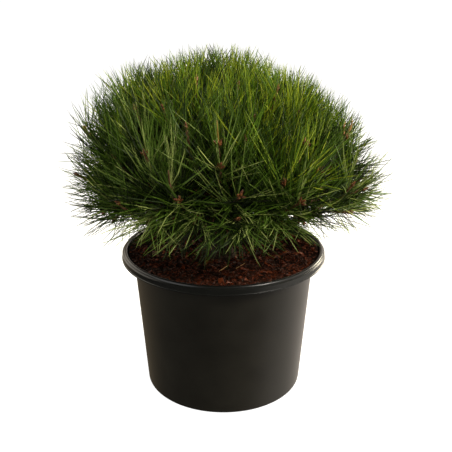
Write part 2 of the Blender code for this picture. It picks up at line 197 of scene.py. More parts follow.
def material(name, **sockets):
    """A new material's shader, tree and place, with constants set on the shader's own sockets."""
    made = bpy.data.materials.new(name)
    made.use_nodes = True
    tree = made.node_tree
    shader = tree.nodes["Principled BSDF"]
    for socket, value in sockets.items():
        shader.inputs[socket.replace("_", " ")].default_value = value
    place = add(tree, "ShaderNodeTexCoord").outputs["Object"]
    return made, tree, shader, place


def per_metre(size_mm):
    """Pattern scale that gives features of one real size."""
    return 1.0 / (size_mm * MM)


def moulded_polypropylene():
    """Black moulded polypropylene: a soft satin with fine mould grain and a random mottle in tone and roughness. The
    rim is smoother than the wall, and its darker tint is painted shade.
    """
    made, tree, shader, place = material("moulded_polypropylene", IOR=1.49, Roughness=0.36,
                                          Specular_IOR_Level=0.50)
    mottle = add(tree, "ShaderNodeTexNoise", {"Vector": place, "Scale": per_metre(45), "Detail": 4.0})
    # Painted shade: the rim takes a darker copy of the wall's tint.
    wall_tint = ramp(tree, mottle.outputs["Fac"], (0.30, "23211b"), (0.70, "2d2b24"))
    shaded_rim_tint = ramp(tree, mottle.outputs["Fac"], (0.30, "121311"), (0.70, "191a17"))
    height = add(tree, "ShaderNodeSeparateXYZ", {"Vector": place}).outputs["Z"]
    wall = add(tree, "ShaderNodeMapRange", {"Value": height, "From Min": POT_HEIGHT - RIM_DROP,
                                            "From Max": POT_HEIGHT - RIM_DROP - 3.0 * MM}).outputs["Result"]
    tint = add(tree, "ShaderNodeMix", {"Factor": wall, "A": shaded_rim_tint, "B": wall_tint}, data_type="RGBA")
    tree.links.new(result(tint), shader.inputs["Base Color"])
    rough = add(tree, "ShaderNodeMapRange", {"Value": mottle.outputs["Fac"], "To Min": 0.30, "To Max": 0.42})
    rough = add(tree, "ShaderNodeMix", {"Factor": wall, "A": 0.27, "B": rough.outputs["Result"]})
    tree.links.new(result(rough), shader.inputs["Roughness"])
    grain = add(tree, "ShaderNodeTexNoise", {"Vector": place, "Scale": per_metre(1.1), "Detail": 2.0})
    bump = add(tree, "ShaderNodeBump", {"Height": grain.outputs["Fac"], "Strength": 0.10, "Distance": 0.3 * MM})
    tree.links.new(bump.outputs["Normal"], shader.inputs["Normal"])
    return made


def bark_chip(name, dark, light, rough):
    """One tint of shredded pine bark: damp, fibrous and slightly glossy on its flat sides."""
    made, tree, shader, place = material(name, Roughness=rough, Specular_IOR_Level=0.12)
    fibre = add(tree, "ShaderNodeTexNoise", {"Vector": place, "Scale": per_metre(1.8), "Detail": 5.0,
                                             "Distortion": 0.6})
    tint = ramp(tree, fibre.outputs["Fac"], (0.32, dark), (0.68, light))
    tree.links.new(tint, shader.inputs["Base Color"])
    bump = add(tree, "ShaderNodeBump", {"Height": fibre.outputs["Fac"], "Strength": 0.5, "Distance": 0.5 * MM})
    tree.links.new(bump.outputs["Normal"], shader.inputs["Normal"])
    return made


def scaly_bark():
    """Grey-brown bark of the trunk and boughs, in small flat scales with darker cracks."""
    made, tree, shader, place = material("scaly_pine_bark", Roughness=0.92, Specular_IOR_Level=0.15)
    scales = add(tree, "ShaderNodeTexVoronoi", {"Vector": place, "Scale": per_metre(6)},
                 feature="DISTANCE_TO_EDGE")
    flecks = add(tree, "ShaderNodeTexNoise", {"Vector": place, "Scale": per_metre(4), "Detail": 6.0})
    tint = ramp(tree, flecks.outputs["Fac"], (0.30, "1f150f"), (0.55, "34251a"), (0.75, "4a392c"))
    cracks = ramp(tree, scales.outputs["Distance"], (0.0, "2a1e17"), (0.12, "ffffff"))
    mixed = add(tree, "ShaderNodeMix", {"Factor": 0.85, "A": tint, "B": cracks}, data_type="RGBA",
                blend_type="MULTIPLY")
    tree.links.new(result(mixed), shader.inputs["Base Color"])
    bump = add(tree, "ShaderNodeBump", {"Height": scales.outputs["Distance"], "Strength": 0.6,
                                        "Distance": 1.0 * MM})
    tree.links.new(bump.outputs["Normal"], shader.inputs["Normal"])
    return made


def young_bark():
    """Orange-brown bark of this year's and last year's twigs, ridged where needles were shed."""
    made, tree, shader, place = material("young_pine_bark", Roughness=0.75)
    ridges = add(tree, "ShaderNodeTexNoise", {"Vector": place, "Scale": per_metre(2), "Detail": 4.0})
    tint = ramp(tree, ridges.outputs["Fac"], (0.30, "4a2f1d"), (0.70, "8a6240"))
    tree.links.new(tint, shader.inputs["Base Color"])
    bump = add(tree, "ShaderNodeBump", {"Height": ridges.outputs["Fac"], "Strength": 0.6,
                                        "Distance": 0.6 * MM})
    tree.links.new(bump.outputs["Normal"], shader.inputs["Normal"])
    return made


def waxy_needle(name, code):
    """One green of the needles, a plain base colour under a thin wax that glints."""
    made, _, shader, _ = material(name, Roughness=0.48, Specular_IOR_Level=0.20)
    shader.inputs["Base Color"].default_value = colour(code)
    return made


def resinous_bud():
    """Red-brown bud scales, with paler fringes and a trace of resin."""
    made, tree, shader, place = material("resinous_bud_scales", Roughness=0.45)
    scales = add(tree, "ShaderNodeTexVoronoi", {"Vector": place, "Scale": per_metre(1.6)})
    tint = ramp(tree, scales.outputs["Distance"], (0.10, "241107"), (0.45, "552b12"), (0.75, "9a6238"))
    tree.links.new(tint, shader.inputs["Base Color"])
    bump = add(tree, "ShaderNodeBump", {"Height": scales.outputs["Distance"], "Strength": 0.4,
                                        "Distance": 0.4 * MM})
    tree.links.new(bump.outputs["Normal"], shader.inputs["Normal"])
    return made


def direction(azimuth, elevation):
    az = math.radians(azimuth)
    el = math.radians(elevation)
    return Vector((math.cos(az) * math.cos(el), math.sin(az) * math.cos(el), math.sin(el)))


AXES = np.array([direction(mass.azimuth, mass.elevation) for mass in MASSES])
SHARES = np.array([mass.share for mass in MASSES])


def reach(ways):
    """How far the crown goes from its heart, for rows of unit directions."""
    dots = ways @ AXES.T
    ordered = np.sort(dots, axis=1)
    weights = np.exp(LOBE_BLEND * (dots - ordered[:, -1:]))
    blended = (weights * SHARES).sum(axis=1) / weights.sum(axis=1)
    elevation = np.degrees(np.arcsin(np.clip(ways[:, 2], -1.0, 1.0)))
    hang = FRONT_HANG * np.maximum(0.0, -ways[:, 1]) ** 2
    skirt = 1.0 - np.exp(-np.maximum(0.0, elevation + SKIRT_ANGLE + hang) / SKIRT_FADE)
    inside = np.minimum(1.0, (ordered[:, -1] - ordered[:, -2]) / LOBE_WIDTH)
    return CROWN_REACH * skirt * blended * (1.0 - LOBE_VALLEY * (1.0 - inside) ** 2)


def unit(rows):
    return rows / np.linalg.norm(rows, axis=-1, keepdims=True)


def mesh_from(name, points, faces, tints=None, materials=(), smooth=False):
    """A mesh piece from arrays. Rows of faces hold the same number of corners, and tints pick their materials."""
    mesh = bpy.data.meshes.new(name)
    corners = faces.shape[1]
    mesh.vertices.add(len(points))
    mesh.vertices.foreach_set("co", np.ascontiguousarray(points, np.float32).ravel())
    mesh.loops.add(faces.size)
    mesh.loops.foreach_set("vertex_index", np.ascontiguousarray(faces, np.int32).ravel())
    mesh.polygons.add(len(faces))
    mesh.polygons.foreach_set("loop_start", np.arange(len(faces), dtype=np.int32) * corners)
    mesh.polygons.foreach_set("use_smooth", np.full(len(faces), smooth))
    for made in materials:
        mesh.materials.append(made)
    if tints is not None:
        mesh.polygons.foreach_set("material_index", np.ascontiguousarray(tints, np.int32))
    mesh.update(calc_edges=True)
    mesh.validate()
    obj = bpy.data.objects.new(name, mesh)
    bpy.context.scene.collection.objects.link(obj)
    return obj


def side_frame(ways):
    """Two unit directions square to each row."""
    helper = np.where(np.abs(ways[:, 2:]) < 0.9, [[0.0, 0.0, 1.0]], [[1.0, 0.0, 0.0]])
    first = unit(np.cross(helper, ways))
    return first, np.cross(ways, first)


def spin(first, second, angles):
    return first * np.cos(angles)[:, None] + second * np.sin(angles)[:, None]


def needle_paths(roots, ways, bends, lengths, t):
    return roots + (ways * t + bends * t * t) * lengths[:, None]


def needle_mesh(roots, ways, bends, lengths, widths, rolls):
    """Closed three-sided needles, each of three rings and a point."""
    count = len(roots)
    first, second = side_frame(ways)
    rings = []
    for place, size in zip(RING_PLACES, RING_SIZES):
        middle = needle_paths(roots, ways, bends, lengths, place)
        for corner in range(3):
            around = spin(first, second, rolls + corner * math.tau / 3)
            rings.append(middle + around * (widths * size / 2)[:, None])
    rings.append(needle_paths(roots, ways, bends, lengths, 1.0))
    points = np.stack(rings, axis=1)
    pattern = [(0, 2, 1)]
    for ring in (0, 3):
        for corner in range(3):
            after = (corner + 1) % 3
            pattern.append((ring + corner, ring + after, ring + 3 + after))
            pattern.append((ring + corner, ring + 3 + after, ring + 3 + corner))
    for corner in range(3):
        pattern.append((6 + corner, 6 + (corner + 1) % 3, 9))
    faces = np.array(pattern)[None, :, :] + np.arange(count)[:, None, None] * points.shape[1]
    return points.reshape(-1, 3), faces.reshape(-1, 3), len(pattern)


def around_crown(points, values):
    """Values at some points, from an even ring of them round the crown that starts over +X."""
    turn = np.arctan2(points[:, 1], points[:, 0]) / math.tau % 1.0 * len(values)
    return np.interp(turn, np.arange(len(values) + 1), values + values[:1])


Shoot = namedtuple("Shoot", "u base tip axis mass inner opening")
Start = namedtuple("Start", "u reach opening down")
SEEN = ((237, 39), (268, 44), (269, 37), (294, 31), (276, 28), (254, 26), (308, 42), (298, 24), (311, 33),
        (344, 39), (250, 31))
SEEN_REACH = 0.86
HANGING = ((205, 13), (219, 14), (240, 18), (250, 20), (259, 19), (266, 20), (272, 17), (278, 19), (286, 20), (294, 19),
           (303, 17), (338, 13))
HANGING_REACH = 0.77
HANGING_DOWN = 0.75
SEEN_APART = 8.0
SEEN_OPENING = 14.0


def crown_shoots(rng, total, share, inner):
    """One layer of the crown's shoots, by the rule of the solids: outer ones with buds, or old inner ones."""
    low = math.sin(math.radians(LOWEST_SHOOT))
    seen = [] if inner else [direction(*way) for way in SEEN]
    starts = [Start(u, SEEN_REACH, SEEN_OPENING, 0.0) for u in seen]
    if not inner:
        starts += [Start(direction(*way), HANGING_REACH, 0.0, HANGING_DOWN) for way in HANGING]
    for i in range(total):
        z = low + (1.0 - low) * ((i + 0.5) / total) ** SHOOT_RISE
        flat = math.sqrt(1.0 - z * z)
        turn = i * GOLDEN_ANGLE + rng.uniform(-SHOOT_TURN_JITTER, SHOOT_TURN_JITTER)
        u = Vector((flat * math.cos(turn), flat * math.sin(turn), z))
        if all(u.dot(other) < math.cos(math.radians(SEEN_APART)) for other in seen):
            starts.append(Start(u, share + rng.uniform(-SHOOT_REACH_JITTER, SHOOT_REACH_JITTER), 0.0, 0.0))
    shoots = []
    for u, far, opening, down in starts:
        tip = HEART + u * far * reach(np.array([u]))[0]
        lowest = around_crown(np.array([tip]), SHOOT_HEIGHTS)[0]
        if tip.z < lowest - SHOOT_RAISED and not inner and not down:
            continue
        tip.z = tip.z if down else max(tip.z, lowest)
        u = (tip - HEART).normalized()
        turn_up = min(1.0, max(SHOOT_HANG, (u.z - SHOOT_LEVEL) / SHOOT_LIFT_RANGE))
        stray = Vector([rng.gauss(0.0, SHOOT_AXIS_JITTER) for _ in range(3)])
        axis = (u + Vector((0.0, 0.0, SHOOT_LIFT * turn_up - down)) + stray).normalized()
        number = int(np.argmax(AXES @ np.array(u)))
        shoots.append(Shoot(u, tip - axis * SHOOT_LENGTH, tip, axis, number, inner, opening))
    return shoots


# Greens from pale to dark. Which one a needle gets is mostly painted light and shade; the palest grey-green stands in
# for the sheen of lit needles, a painted sheen.
NEEDLE_GREENS = ("9aa85c", "6e863a", "527020", "3c5412", "2a3e0a", "1a2905", "101903")
YOUNG_AND_LIT_GREENS = ("9aa728", "788e1f", "557616")
YOUNG_AND_LIT_ABOVE = 0.66
YOUNG_AND_LIT_JITTER = 0.15
DRY_NEEDLE = "5e4426"
DRY_SHARE = 0.22
# Painted shade: darker greens further down each shoot, less so high in the crown, with a cap on the darkest there.
SHADE_DOWN_SHOOT = 3.4
HIGH_LESS_SHADE = 0.20
HIGH_SHADE_LIMIT = 1.2
SPRAY_TINT_JITTER = 0.20
NEEDLE_TINT_JITTER = 0.6
LOCK_TINT_JITTER = 1.25
LOW_TINT_JITTER = 2.0


def spray_tints(u, back, inner, shade, rng):
    """Deals out one spray's colours: yellowish high up, paler and deeper to the skirt, partly dry inside. Which green a
    needle gets is mostly painted light and shade.
    """
    count = len(back)
    # Inner sprays: the two darkest greens, for old needles and as painted shade in the crown's heart, with some dry
    # ones.
    if inner:
        old = rng.integers(len(NEEDLE_GREENS) - 2, len(NEEDLE_GREENS), count)
        return np.where(rng.uniform(0.0, 1.0, count) < DRY_SHARE, len(NEEDLE_GREENS), old)
    # Painted light: lighter greens high up, on the right, at the sides and low in front, where the lamps fall.
    light = 0.62 * u.z + 0.08 * u.x + 0.14 * abs(u.x) - 0.22 * min(0.0, u.y) * (1.0 - u.z)
    light += rng.normal(0.0, SPRAY_TINT_JITTER)
    high = max(0.0, u.z) ** 2
    # Painted shade further down the shoot, plus each lock's random tone.
    middle = 2.60 - 3.2 * light + SHADE_DOWN_SHOOT * (1.0 - HIGH_LESS_SHADE * high) * back + shade
    middle = np.clip(middle, 0.0, len(NEEDLE_GREENS) - 1.0 - HIGH_SHADE_LIMIT * high)
    tints = np.clip(np.round(rng.normal(middle, NEEDLE_TINT_JITTER, count)), 0, len(NEEDLE_GREENS) - 1).astype(int)
    # Yellowish greens high up and more on the right: new growth, with painted light where the lamps fall.
    young = u.z + 0.15 * u.x + rng.normal(0.0, YOUNG_AND_LIT_JITTER) > YOUNG_AND_LIT_ABOVE
    return np.where(young & (tints < len(YOUNG_AND_LIT_GREENS)), tints + len(NEEDLE_GREENS) + 1, tints)


def skirt_height(tips):
    """The crown's lower edge: it rises outwards and a little inwards, and is higher in front."""
    past = np.hypot(tips[:, 0], tips[:, 1]) - SKIRT_START
    inner = around_crown(tips, SKIRT_INNER_SLOPES) * np.clip(-past, 0.0, SKIRT_INNER)
    outer = around_crown(tips, SKIRT_SLOPES) * np.maximum(0.0, past)
    return around_crown(tips, SKIRT_HEIGHTS) + outer + inner


def spray_needles(shoot, rng):
    """Paths and tints of one shoot's needles: forward round the bud, spread wide lower down."""
    u, _, tip, axis, _, inner, opening = shoot
    pairs = INNER_PAIRS if inner else PAIRS
    back = (np.arange(pairs) + rng.uniform(0.0, 1.0, pairs)) / pairs
    turn = np.arange(pairs) * GOLDEN_ANGLE + rng.uniform(0.0, math.tau)
    axes = np.tile(np.array(axis), (pairs, 1))
    first, second = side_frame(axes)
    around = spin(first, second, turn)
    low = min(1.0, max(0.0, SHOOT_LEVEL - u.z) / SHOOT_LEVEL)
    spread = TIP_SPREAD + opening + (BASE_SPREAD + LOW_SPREAD * low - TIP_SPREAD - opening) * back ** 0.8
    spread = np.radians(spread + rng.normal(0.0, SPREAD_JITTER + LOW_JITTER * low, pairs))
    hang = DROOP * max(0.0, DROOP_BELOW - u.z) - RISE * max(0.0, u.z - RISE_ABOVE)
    ways = axes * np.cos(spread)[:, None] + around * np.sin(spread)[:, None]
    ways = unit(ways - np.array([[0.0, 0.0, hang]]))
    locks = ways[rng.choice(pairs, LOCKS, replace=False)]
    lock = np.argmax(ways @ locks.T, axis=1)
    shade = rng.normal(0.0, LOCK_TINT_JITTER * (1.2 + LOW_TINT_JITTER * max(0.0, 0.5 - u.z)), LOCKS)[lock]
    ways = unit(ways * (1.0 - LOCK_PULL) + locks[lock] * LOCK_PULL)
    roots = np.array(tip) - axes * (back * SHOOT_LENGTH)[:, None] + around * 1.2 * MM
    lengths = NEEDLE_LENGTH * (NEEDLE_YOUNG + (1.0 - NEEDLE_YOUNG) * np.minimum(1.0, back * 3.0))
    lengths = lengths * (1.0 + rng.normal(0.0, NEEDLE_JITTER, pairs))
    sideways, other = side_frame(ways)
    apart = spin(sideways, other, rng.uniform(0.0, math.tau, pairs)) * math.tan(math.radians(PAIR_SPREAD))
    roots = np.concatenate([roots, roots])
    ways = np.concatenate([unit(ways + apart), unit(ways - apart)])
    lengths = np.concatenate([lengths, lengths * rng.uniform(0.94, 1.06, pairs)])
    count = len(roots)
    upturn = UPTURN * min(1.0, max(0.0, u.z * 2.0))
    bends = rng.normal(0.0, BEND * (1.0 + low), (count, 3)) + np.array([[0.0, 0.0, upturn - hang * 0.6]])
    tints = spray_tints(u, np.concatenate([back, back]), inner, np.concatenate([shade, shade]), rng)
    spare = REACH_SPARE + rng.normal(0.0, SPRAY_RAGGED) + rng.normal(0.0, NEEDLE_RAGGED, count)
    spare = np.minimum(spare, MOST_SPARE)
    for _ in range(16):
        out = needle_paths(roots, ways, bends, lengths, 1.0) - np.array(HEART)
        far = np.linalg.norm(out, axis=1)
        limit = reach(out / far[:, None]) * spare
        lengths = np.where(far > limit, lengths * 0.95, lengths)
    keep = (lengths > SHORTEST * NEEDLE_LENGTH) & (far < limit * 1.02)
    outward = far / (reach(out / far[:, None]) * REACH_SPARE)
    thin = np.clip((outward - OUTER_START) / (1.0 - OUTER_START), 0.0, 1.0)
    thin *= OUTER_SPARSE + OUTER_SPARSE_LOW * (1.0 - max(0.0, u.z)) * abs(u.x) + OUTER_SPARSE_LEFT * max(0.0, -u.x)
    keep &= rng.uniform(0.0, 1.0, count) > thin
    tips = out + np.array(HEART)
    above = tips[:, 2] - skirt_height(tips) + rng.normal(0.0, SKIRT_RAGGED)
    chance = np.where(above > 0.0, SKIRT_LEAST + above / SKIRT_SPARSE, 0.0)
    keep &= rng.uniform(0.0, 1.0, count) < chance
    return roots[keep], ways[keep], bends[keep], lengths[keep], tints[keep]


def make_needles(shoots, rng):
    """One piece of needles for each mass, which it stands for."""
    greens = [waxy_needle(f"needle_green_{i + 1}", code) for i, code in enumerate(NEEDLE_GREENS)]
    greens.append(waxy_needle("needle_dry", DRY_NEEDLE))
    greens += [waxy_needle(f"needle_young_and_lit_{i + 1}", code) for i, code in enumerate(YOUNG_AND_LIT_GREENS)]
    total = 0
    for number, mass in enumerate(MASSES):
        sprays = [spray_needles(shoot, rng) for shoot in shoots if shoot.mass == number]
        roots, ways, bends, lengths, tints = (np.concatenate(rows) for rows in zip(*sprays))
        count = len(roots)
        widths = NEEDLE_WIDTH * rng.uniform(0.85, 1.15, count)
        rolls = rng.uniform(0.0, math.tau, count)
        points, faces, per_needle = needle_mesh(roots, ways, bends, lengths, widths, rolls)
        piece = mesh_from(f"needles_{mass.name}", points, faces, np.repeat(tints, per_needle), greens)
        finish(piece, "needles", f"foliage_{mass.name}")
        total += len(faces)
    print("needle triangles", total)


def finish(piece, slot, *nodes):
    """Makes the piece ride on the one body and hides the nodes that it stands for. The slot is not used."""
    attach(piece, BODY)
    if nodes:
        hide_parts(*nodes)
    return piece


def tube(stations, sides, relief=0.0, grain=1.0):
    """Points and four-cornered faces of a closed round limb through stations of a middle and a radius."""
    middles = np.array([middle for middle, _ in stations])
    radii = np.array([radius for _, radius in stations])
    ways = unit(np.gradient(middles, axis=0))
    first, second = side_frame(ways)
    turns = np.arange(sides) * math.tau / sides
    ring = np.cos(turns)[None, :, None] * first[:, None, :] + np.sin(turns)[None, :, None] * second[:, None, :]
    points = middles[:, None, :] + ring * radii[:, None, None]
    if relief:
        flat = points.reshape(-1, 3)
        lumps = np.array([noise.noise(Vector(p) / grain) for p in flat]).reshape(points.shape[:2])
        scales = np.array([noise.cell(Vector(p) / (grain * 0.7)) for p in flat]).reshape(points.shape[:2])
        points = points + ring * ((lumps + 0.6 * (scales - 0.5)) * relief)[:, :, None]
    points = points.reshape(-1, 3)
    rows = len(stations)
    here = np.arange(rows - 1)[:, None] * sides + np.arange(sides)[None, :]
    after = np.arange(rows - 1)[:, None] * sides + (np.arange(sides)[None, :] + 1) % sides
    quads = np.stack([here, after, after + sides, here + sides], axis=2).reshape(-1, 4)
    ends = np.array([middles[0], middles[-1]])
    foot, head = len(points), len(points) + 1
    low = [(foot, (i + 1) % sides, i, i) for i in range(sides)]
    top = (rows - 1) * sides
    high = [(head, top + i, top + (i + 1) % sides, top + (i + 1) % sides) for i in range(sides)]
    return np.concatenate([points, ends]), quads, np.array(low + high)[:, :3]


def limb_piece(name, tubes, made):
    """One mesh out of several tubes."""
    points, triangles = [], []
    start = 0
    for tube_points, quads, caps in tubes:
        points.append(tube_points)
        triangles += [quads[:, [0, 1, 2]] + start, quads[:, [0, 2, 3]] + start, caps + start]
        start += len(tube_points)
    piece = mesh_from(name, np.concatenate(points), np.concatenate(triangles), None, [made], smooth=True)
    return piece


def bezier(a, b, c, d, t):
    first, second, third = a.lerp(b, t), b.lerp(c, t), c.lerp(d, t)
    return first.lerp(second, t).lerp(second.lerp(third, t), t)


def trunk_point(share):
    """Middle of the trunk and its radius, from the cut at soil level to the tip."""
    foot = SOIL_TOP
    rise = TRUNK_TIP.z - foot
    lean = share * share
    middle = Vector((TRUNK_TIP.x * lean, TRUNK_TIP.y * lean, foot + rise * share))
    flare = FLARE_RADIUS * math.exp(-rise * share / FLARE_HEIGHT)
    return middle, TRUNK_RADIUS + (TRUNK_TIP_RADIUS - TRUNK_RADIUS) * share + flare


def bough_curve(mass, steps):
    """Stations of a bough, and of the stem that goes on from its tip."""
    start, _ = trunk_point((mass.height - SOIL_TOP) / (TRUNK_TIP.z - SOIL_TOP))
    onward = direction(mass.azimuth, mass.elevation)
    tip = HEART + onward * BOUGH_REACH
    level = start + Vector((onward.x, onward.y, 0.0)) * BOUGH_LEVEL
    before = tip - onward * BOUGH_ONWARD
    stations = []
    for i in range(steps):
        t = i / (steps - 1)
        radius = BOUGH_RADIUS + (BOUGH_TIP_RADIUS - BOUGH_RADIUS) * t
        stations.append((bezier(start, level, before, tip, t), radius))
    return stations, tip, onward


def make_limbs():
    """Trunk, boughs and stems with their bark, and where each mass's stem starts and forks."""
    bark = scaly_bark()
    trunk = [trunk_point((i / 59) ** 1.4) for i in range(60)]
    piece = limb_piece("trunk_bark", [tube(trunk, 40, 1.1 * MM, 4.5 * MM)], bark)
    finish(piece, "bark", "trunk")
    stems = []
    for mass in MASSES:
        if mass.height is None:
            tip = TRUNK_TIP.copy()
            onward = (trunk[-1][0] - trunk[-2][0]).normalized()
        else:
            stations, tip, onward = bough_curve(mass, 28)
            piece = limb_piece(f"bough_bark_{mass.name}", [tube(stations, 16, 0.5 * MM, 3.0 * MM)], bark)
            finish(piece, "bark", f"bough_{mass.name}")
        stems.append((tip, tip + onward * (STEM_REACH - BOUGH_REACH), onward))
    return stems


def make_twigs(shoots, stems):
    """Stems and the twigs that curve out of them to the shoots, joined for each mass."""
    bark = young_bark()
    for number, mass in enumerate(MASSES):
        start, fork, onward = stems[number]
        tubes = [tube([(start.lerp(fork, i / 5), STEM_RADIUS + (STEM_TIP_RADIUS - STEM_RADIUS) * i / 5)
                       for i in range(6)], 8)]
        for shoot in shoots:
            if shoot.mass != number:
                continue
            base, tip, axis = shoot.base, shoot.tip, shoot.axis
            centred = max(0.0, shoot.u.dot(direction(mass.azimuth, mass.elevation))) ** FORK_SHARPNESS
            root = start.lerp(fork, FORK_FIRST + (FORK_LAST - FORK_FIRST) * centred)
            span = (base - root).length
            path = [bezier(root, root + onward * span * 0.3, base - axis * span * 0.3, base, i / 7)
                    for i in range(8)]
            path += [base.lerp(tip, i / 4) for i in range(1, 5)]
            sizes = np.linspace(TWIG_RADIUS, TWIG_TIP_RADIUS, len(path))
            tubes.append(tube(list(zip(path, sizes)), 6))
        piece = limb_piece(f"twigs_{mass.name}", tubes, bark)
        finish(piece, "bark", f"foliage_{mass.name}")


BUD_PROFILE = ((0.0, 0.55), (0.22, 1.0), (0.5, 0.88), (0.78, 0.45), (1.0, 0.06))


def bud(base, way, length, radius):
    """One pointed bud."""
    stations = [(base + way * length * place, radius * size) for place, size in BUD_PROFILE]
    return tube(stations, 6)


CANDLE_WAY = (268, 44)
SCALES_WAY = (344, 39)
STUB_WAY = (250, 31)


def nearest_shoot(shoots, way):
    return max(shoots, key=lambda shoot: shoot.u.dot(direction(*way)))


def make_buds(shoots, rng):
    """A cluster of buds at each shoot's tip: the leader and a crown of side buds round it."""
    scales = resinous_bud()
    tubes = []
    dead = nearest_shoot(shoots, STUB_WAY)
    for shoot in shoots:
        if shoot is dead:
            continue
        tip, axis = shoot.tip, shoot.axis
        first, second = side_frame(np.array([axis]))
        sides = rng.randint(4, 6) if shoot.opening else 2
        size = MM if shoot.opening else 0.6 * MM
        foot = tip + axis * 1.5 * MM
        tubes.append(tube([(tip - axis * 3.0 * MM, 1.9 * MM), (tip, 2.3 * MM), (foot, 1.8 * MM)], 6))
        tubes.append(bud(foot - axis * 1.0 * MM, axis, rng.uniform(8.0, 11.0) * size, rng.uniform(1.9, 2.4) * size))
        start = rng.uniform(0.0, math.tau)
        for i in range(sides):
            turn = start + (i + rng.uniform(-0.2, 0.2)) * math.tau / sides
            out = Vector(spin(first, second, np.array([turn]))[0])
            way = (axis + out * rng.uniform(0.40, 0.75)).normalized()
            tubes.append(bud(foot + out * 1.4 * size - axis * 1.5 * MM, way, rng.uniform(6.0, 9.0) * size,
                             rng.uniform(1.5, 2.0) * size))
    finish(limb_piece("buds", tubes, scales), "bark")


def make_finds(shoots):
    """A pale young candle, two papery bud scales left standing and a dead stub, each on the shoot it grew from."""
    candle = nearest_shoot(shoots, CANDLE_WAY)
    foot, way = candle.tip, (candle.axis + Vector((0.0, 0.0, 1.0))).normalized()
    grown = [(foot + way * 30.0 * MM * t, (1.3 - 0.6 * t) * MM) for t in (0.0, 0.25, 0.5, 0.75, 1.0)]
    pale = waxy_needle("young_candle", "8f7a38")
    finish(limb_piece("candle", [tube(grown, 8, 0.3 * MM, 1.6 * MM)], pale), "bark")
    left = nearest_shoot(shoots, SCALES_WAY)
    scales = []
    way = (Vector((0.1, 0.0, 1.0)) + left.axis * 0.3).normalized()
    for side, tall in ((-1.0, 22.0), (1.0, 26.0)):
        profile = ((0.0, 0.6), (0.25, 1.7), (0.5, 1.6), (0.8, 1.0), (1.0, 0.1))
        scales.append(tube([(left.tip + (way * tall * t + Vector((side, 0.0, 0.0)) * 4.5 * math.sin(2.2 * t)) * MM,
                             size * MM) for t, size in profile], 7))
    finish(limb_piece("papery_scales", scales, waxy_needle("papery_scale", "b98a5c")), "bark")
    dead = nearest_shoot(shoots, STUB_WAY)
    way = (dead.axis + Vector((0.0, 0.0, 1.4))).normalized()
    stub = [(dead.tip + way * 18.0 * MM * t, (1.1 - 0.5 * t) * MM) for t in (0.0, 0.35, 0.7, 1.0)]
    finish(limb_piece("dead_stub", [tube(stub, 7, 0.2 * MM, 1.5 * MM)], young_bark()), "bark")


# Container
POT_STEPS = 160
POT_HEIGHT = 0.202
RIM_RADIUS = 0.140
RIM_INNER_RADIUS = 0.1345
RIM_DROP = 0.0125
LIP_FLARE = 0.0024
RIDGE = 0.0007
BEAD = 0.0028
SHOULDER_DROP = 0.0030
SHOULDER_RISE = 0.0045
SHOULDER_WIDTH = 0.0040
WALL_TOP_RADIUS = 0.1256
WALL_FOOT_RADIUS = 0.1119
WALL = 0.0020
SKIN = 0.0012
FLOOR = 0.0030
FOOT_ROUND = 0.0030
DRAIN_HOLES = 8
DRAIN_RADIUS = 0.006
DRAIN_CIRCLE = 0.078


def arc(middle, radius_r, radius_z, start, end, steps):
    """Points of an elliptic arc in a profile, from one angle to another in degrees."""
    angles = [math.radians(start + (end - start) * i / steps) for i in range(steps + 1)]
    return [(middle[0] + radius_r * math.cos(a), middle[1] + radius_z * math.sin(a)) for a in angles]


def pot_profile():
    """Floor, inner wall, shoulder, rolled rim with its hanging lip, outer wall and underside."""
    shoulder = POT_HEIGHT - RIM_DROP - SHOULDER_DROP
    inner_top = WALL_TOP_RADIUS - WALL
    inner_foot = WALL_FOOT_RADIUS - WALL
    lip = POT_HEIGHT - RIM_DROP
    lip_radius = RIM_RADIUS + LIP_FLARE
    bead = POT_HEIGHT - BEAD
    half = (RIM_RADIUS - RIM_INNER_RADIUS) / 2
    profile = [(0.0, FLOOR)]
    profile += arc((inner_foot - FOOT_ROUND, FLOOR + FOOT_ROUND), FOOT_ROUND, FOOT_ROUND, -90, 0, 4)
    profile += [(inner_top, shoulder - SKIN), (inner_top + SKIN / 2, shoulder)]
    profile += [(inner_top + SHOULDER_WIDTH, shoulder + SHOULDER_RISE)]
    profile += [(RIM_INNER_RADIUS - SKIN, shoulder + 2 * SHOULDER_RISE)]
    profile += arc((RIM_RADIUS - half, bead), half, BEAD, 180, 0, 12)
    profile += [(lip_radius - RIDGE, bead - 2 * RIDGE), (lip_radius - RIDGE, lip + SKIN + 2 * RIDGE)]
    profile += [(lip_radius, lip + SKIN + RIDGE)]
    profile += arc((lip_radius - SKIN, lip + SKIN), SKIN, SKIN, 0, -90, 4)
    profile += [
        (lip_radius - WALL, lip),
        (RIM_RADIUS - WALL, bead - WALL),
        (RIM_INNER_RADIUS + SKIN, bead - WALL),
        (RIM_INNER_RADIUS, shoulder + 2 * SHOULDER_RISE - WALL),
        (inner_top + SHOULDER_WIDTH + SKIN, shoulder + SHOULDER_RISE - WALL),
        (WALL_TOP_RADIUS, shoulder - SKIN),
    ]
    profile += arc((WALL_FOOT_RADIUS - FOOT_ROUND, FOOT_ROUND), FOOT_ROUND, FOOT_ROUND, 0, -90, 5)
    profile.append((0.0, 0.0))
    return profile


def drain_cutter():
    """The round holes through the foot, as one cutter."""
    mesh = bpy.data.meshes.new("drain_cutter")
    made = bmesh.new()
    for i in range(DRAIN_HOLES):
        turn = math.tau * (i + 0.5) / DRAIN_HOLES
        place = Matrix.Translation((DRAIN_CIRCLE * math.cos(turn), DRAIN_CIRCLE * math.sin(turn), 0.0))
        bmesh.ops.create_cone(made, cap_ends=True, segments=32, radius1=DRAIN_RADIUS, radius2=DRAIN_RADIUS,
                              depth=3 * FLOOR, matrix=place)
    made.to_mesh(mesh)
    made.free()
    cutter = bpy.data.objects.new("drain_cutter", mesh)
    bpy.context.scene.collection.objects.link(cutter)
    return cutter


